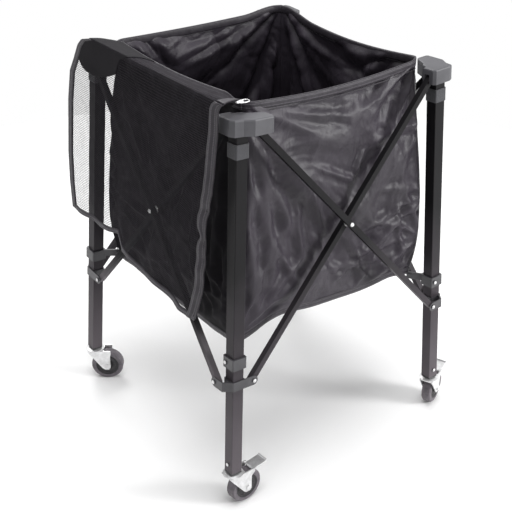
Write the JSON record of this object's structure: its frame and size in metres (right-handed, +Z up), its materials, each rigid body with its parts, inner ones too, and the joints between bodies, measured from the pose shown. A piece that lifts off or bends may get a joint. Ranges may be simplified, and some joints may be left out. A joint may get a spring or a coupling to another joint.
{
  "type": "ball cart",
  "caption": "Folding ball cart: a cloth bag hung in a square frame of leaning legs and crossed bars on swivel casters, with a mesh lid hanging down one side.",
  "frame": {"origin": "floor level, at the middle of the bounding box", "axes": "+Z up; the cart is square to X and Y; the lid hangs down the -X side; the pictured near corner is at -X, -Y"},
  "size_m": [0.6614, 0.6124, 0.8508],
  "materials": {
    "black_tube": "black satin coat on square tube",
    "cap": "moulded dark grey plastic",
    "webbing": "grey webbing",
    "black_bracket": "black coated steel",
    "bag_cloth": "dark coated cloth",
    "lid_mesh": "black open mesh",
    "tyre": "dark grey tyre",
    "zinc": "bright zinc plate"
  },
  "bodies": {
    "bag": {"bag_floor": "bag_cloth"},
    "leg_front": {"leg_tube_front": "black_tube", "top_cap_front": "cap", "leg_strap_front": "webbing", "upper_bracket_front": "black_bracket", "foot_plug_front": "zinc"},
    "leg_right": {"leg_tube_right": "black_tube", "top_cap_right": "cap", "leg_strap_right": "webbing", "upper_bracket_right": "black_bracket", "foot_plug_right": "zinc"},
    "leg_back": {"leg_tube_back": "black_tube", "top_cap_back": "cap", "leg_strap_back": "webbing", "upper_bracket_back": "black_bracket", "foot_plug_back": "zinc"},
    "leg_left": {"leg_tube_left": "black_tube", "top_cap_left": "cap", "leg_strap_left": "webbing", "upper_bracket_left": "black_bracket", "foot_plug_left": "zinc"},
    "slider_front": {"slider_bracket_front": "black_bracket"},
    "slider_right": {"slider_bracket_right": "black_bracket"},
    "slider_back": {"slider_bracket_back": "black_bracket"},
    "slider_left": {"slider_bracket_left": "black_bracket"},
    "outer_bar_front_right": {"outer_bar_front_right": "black_tube", "centre_rivet_front_right": "zinc"},
    "inner_bar_front_right": {"inner_bar_front_right": "black_tube"},
    "outer_bar_right_back": {"outer_bar_right_back": "black_tube", "centre_rivet_right_back": "zinc"},
    "inner_bar_right_back": {"inner_bar_right_back": "black_tube"},
    "outer_bar_back_left": {"outer_bar_back_left": "black_tube", "centre_rivet_back_left": "zinc"},
    "inner_bar_back_left": {"inner_bar_back_left": "black_tube"},
    "outer_bar_left_front": {"outer_bar_left_front": "black_tube", "centre_rivet_left_front": "zinc"},
    "inner_bar_left_front": {"inner_bar_left_front": "black_tube"},
    "panel_front_right": {"bag_panel_front_right": "bag_cloth"},
    "panel_right_back": {"bag_panel_right_back": "bag_cloth"},
    "panel_back_left": {"bag_panel_back_left": "bag_cloth"},
    "panel_left_front": {"bag_panel_left_front": "bag_cloth", "zip_pull": "zinc"},
    "lid": {"lid": "lid_mesh"},
    "fork_front": {"caster_fork_front": "zinc", "axle_front": "zinc"},
    "wheel_front": {"wheel_front": "tyre"},
    "pedal_front": {"brake_pedal_front": "zinc"},
    "fork_right": {"caster_fork_right": "zinc", "axle_right": "zinc"},
    "wheel_right": {"wheel_right": "tyre"},
    "pedal_right": {"brake_pedal_right": "zinc"},
    "fork_back": {"caster_fork_back": "zinc", "axle_back": "zinc"},
    "wheel_back": {"wheel_back": "tyre"},
    "fork_left": {"caster_fork_left": "zinc", "axle_left": "zinc"},
    "wheel_left": {"wheel_left": "tyre"}
  },
  "joints": [
    {"name": "fold", "type": "slide", "parent": "bag", "child": "leg_front", "axis": [0.7071, 0.7071, 0], "range_m": [0, 0.2659], "deforming": ["bag_panel_front_right", "bag_panel_right_back", "bag_panel_back_left", "bag_panel_left_front", "bag_floor"]},
    {"name": "fold_right", "type": "slide", "parent": "bag", "child": "leg_right", "axis": [-0.7071, 0.7071, 0], "range_m": [0, 0.266]},
    {"name": "fold_back", "type": "slide", "parent": "bag", "child": "leg_back", "axis": [-0.7071, -0.7071, 0], "range_m": [0, 0.266]},
    {"name": "fold_left", "type": "slide", "parent": "bag", "child": "leg_left", "axis": [0.7071, -0.7071, 0], "range_m": [0, 0.266]},
    {"name": "slider_front_slide", "type": "slide", "parent": "leg_front", "child": "slider_front", "axis": [-0.0512, -0.0512, -0.9974], "range_m": [0, 0.1693]},
    {"name": "slider_right_slide", "type": "slide", "parent": "leg_right", "child": "slider_right", "axis": [0.0512, -0.0512, -0.9974], "range_m": [0, 0.1693]},
    {"name": "slider_back_slide", "type": "slide", "parent": "leg_back", "child": "slider_back", "axis": [0.0512, 0.0512, -0.9974], "range_m": [0, 0.1693]},
    {"name": "slider_left_slide", "type": "slide", "parent": "leg_left", "child": "slider_left", "axis": [-0.0512, 0.0512, -0.9974], "range_m": [0, 0.1693]},
    {"name": "outer_bar_front_right_pivot", "type": "hinge", "parent": "leg_front", "child": "outer_bar_front_right", "pos_m": [-0.24492, -0.26884, 0.80286], "axis": [0, 0.9987, -0.0513], "range_deg": [0, 34.47]},
    {"name": "inner_bar_front_right_pivot", "type": "hinge", "parent": "leg_right", "child": "inner_bar_front_right", "pos_m": [0.19322, -0.25335, 0.80211], "axis": [0, 0.9987, -0.0513], "range_deg": [-34.61, 0]},
    {"name": "outer_bar_right_back_pivot", "type": "hinge", "parent": "leg_right", "child": "outer_bar_right_back", "pos_m": [0.23782, -0.22323, 0.80286], "axis": [-0.9987, 0, -0.0513], "range_deg": [0, 34.47]},
    {"name": "inner_bar_right_back_pivot", "type": "hinge", "parent": "leg_back", "child": "inner_bar_right_back", "pos_m": [0.22234, 0.21491, 0.80211], "axis": [-0.9987, 0, -0.0513], "range_deg": [-34.61, 0]},
    {"name": "outer_bar_back_left_pivot", "type": "hinge", "parent": "leg_back", "child": "outer_bar_back_left", "pos_m": [0.19222, 0.25951, 0.80286], "axis": [0, -0.9987, -0.0513], "range_deg": [0, 34.47]},
    {"name": "inner_bar_back_left_pivot", "type": "hinge", "parent": "leg_left", "child": "inner_bar_back_left", "pos_m": [-0.24592, 0.24403, 0.80211], "axis": [0, -0.9987, -0.0513], "range_deg": [-34.61, 0]},
    {"name": "outer_bar_left_front_pivot", "type": "hinge", "parent": "leg_left", "child": "outer_bar_left_front", "pos_m": [-0.29053, 0.21391, 0.80286], "axis": [0.9987, 0, -0.0513], "range_deg": [0, 34.47]},
    {"name": "inner_bar_left_front_pivot", "type": "hinge", "parent": "leg_front", "child": "inner_bar_left_front", "pos_m": [-0.27504, -0.22423, 0.80211], "axis": [0.9987, 0, -0.0513], "range_deg": [-34.61, 0]},
    {"name": "panel_front_right_slide", "type": "slide", "parent": "bag", "child": "panel_front_right", "axis": [0, 1, 0], "range_m": [0, 0.1882]},
    {"name": "panel_right_back_slide", "type": "slide", "parent": "bag", "child": "panel_right_back", "axis": [-1, 0, 0], "range_m": [0, 0.1882]},
    {"name": "panel_back_left_slide", "type": "slide", "parent": "bag", "child": "panel_back_left", "axis": [0, -1, 0], "range_m": [0, 0.1882]},
    {"name": "panel_left_front_slide", "type": "slide", "parent": "bag", "child": "panel_left_front", "axis": [1, 0, 0], "range_m": [0, 0.1882]},
    {"name": "lid_swing", "type": "hinge", "parent": "panel_left_front", "child": "lid", "pos_m": [-0.30822, -0.00466, 0.85615], "axis": [0, 1, 0], "range_deg": [0, 265]},
    {"name": "caster_front_swivel", "type": "hinge", "parent": "leg_front", "child": "fork_front", "pos_m": [-0.30561, -0.28392, 0.088], "axis": [0, 0, 1], "continuous": true},
    {"name": "wheel_front_spin", "type": "hinge", "parent": "fork_front", "child": "wheel_front", "pos_m": [-0.27765, -0.28245, 0.03726], "axis": [-0.0523, 0.9986, 0], "continuous": true},
    {"name": "pedal_front_press", "type": "hinge", "parent": "fork_front", "child": "pedal_front", "pos_m": [-0.26467, -0.28177, 0.0755], "axis": [-0.0523, 0.9986, 0], "range_deg": [0, 10]},
    {"name": "caster_right_swivel", "type": "hinge", "parent": "leg_right", "child": "fork_right", "pos_m": [0.25291, -0.28392, 0.088], "axis": [0, 0, 1], "continuous": true},
    {"name": "wheel_right_spin", "type": "hinge", "parent": "fork_right", "child": "wheel_right", "pos_m": [0.27868, -0.27298, 0.03726], "axis": [-0.3907, 0.9205, 0], "continuous": true},
    {"name": "pedal_right_press", "type": "hinge", "parent": "fork_right", "child": "pedal_right", "pos_m": [0.29065, -0.2679, 0.0755], "axis": [-0.3907, 0.9205, 0], "range_deg": [0, 10]},
    {"name": "caster_back_swivel", "type": "hinge", "parent": "leg_back", "child": "fork_back", "pos_m": [0.25291, 0.2746, 0.088], "axis": [0, 0, 1], "continuous": true},
    {"name": "wheel_back_spin", "type": "hinge", "parent": "fork_back", "child": "wheel_back", "pos_m": [0.27922, 0.28417, 0.03726], "axis": [-0.342, 0.9397, 0], "continuous": true},
    {"name": "caster_left_swivel", "type": "hinge", "parent": "leg_left", "child": "fork_left", "pos_m": [-0.30561, 0.2746, 0.088], "axis": [0, 0, 1], "continuous": true},
    {"name": "wheel_left_spin", "type": "hinge", "parent": "fork_left", "child": "wheel_left", "pos_m": [-0.28355, 0.25736, 0.03726], "axis": [0.6157, 0.788, 0], "continuous": true}
  ],
  "couplings": [
    {"joint": "fold_right", "follows": "fold", "ratio": 1},
    {"joint": "fold_back", "follows": "fold", "ratio": 1},
    {"joint": "fold_left", "follows": "fold", "ratio": 1},
    {"joint": "slider_front_slide", "follows": "fold", "ratio": 0.63502},
    {"joint": "slider_right_slide", "follows": "fold", "ratio": 0.63502},
    {"joint": "slider_back_slide", "follows": "fold", "ratio": 0.63502},
    {"joint": "slider_left_slide", "follows": "fold", "ratio": 0.63502},
    {"joint": "outer_bar_front_right_pivot", "follows": "fold", "rad_per_m": 2.2431},
    {"joint": "inner_bar_front_right_pivot", "follows": "fold", "rad_per_m": -2.2523},
    {"joint": "outer_bar_right_back_pivot", "follows": "fold", "rad_per_m": 2.2431},
    {"joint": "inner_bar_right_back_pivot", "follows": "fold", "rad_per_m": -2.2523},
    {"joint": "outer_bar_back_left_pivot", "follows": "fold", "rad_per_m": 2.2431},
    {"joint": "inner_bar_back_left_pivot", "follows": "fold", "rad_per_m": -2.2523},
    {"joint": "outer_bar_left_front_pivot", "follows": "fold", "rad_per_m": 2.2431},
    {"joint": "inner_bar_left_front_pivot", "follows": "fold", "rad_per_m": -2.2523},
    {"joint": "panel_front_right_slide", "follows": "fold", "ratio": 0.70711},
    {"joint": "panel_right_back_slide", "follows": "fold", "ratio": 0.70711},
    {"joint": "panel_back_left_slide", "follows": "fold", "ratio": 0.70711},
    {"joint": "panel_left_front_slide", "follows": "fold", "ratio": 0.70711}
  ]
}
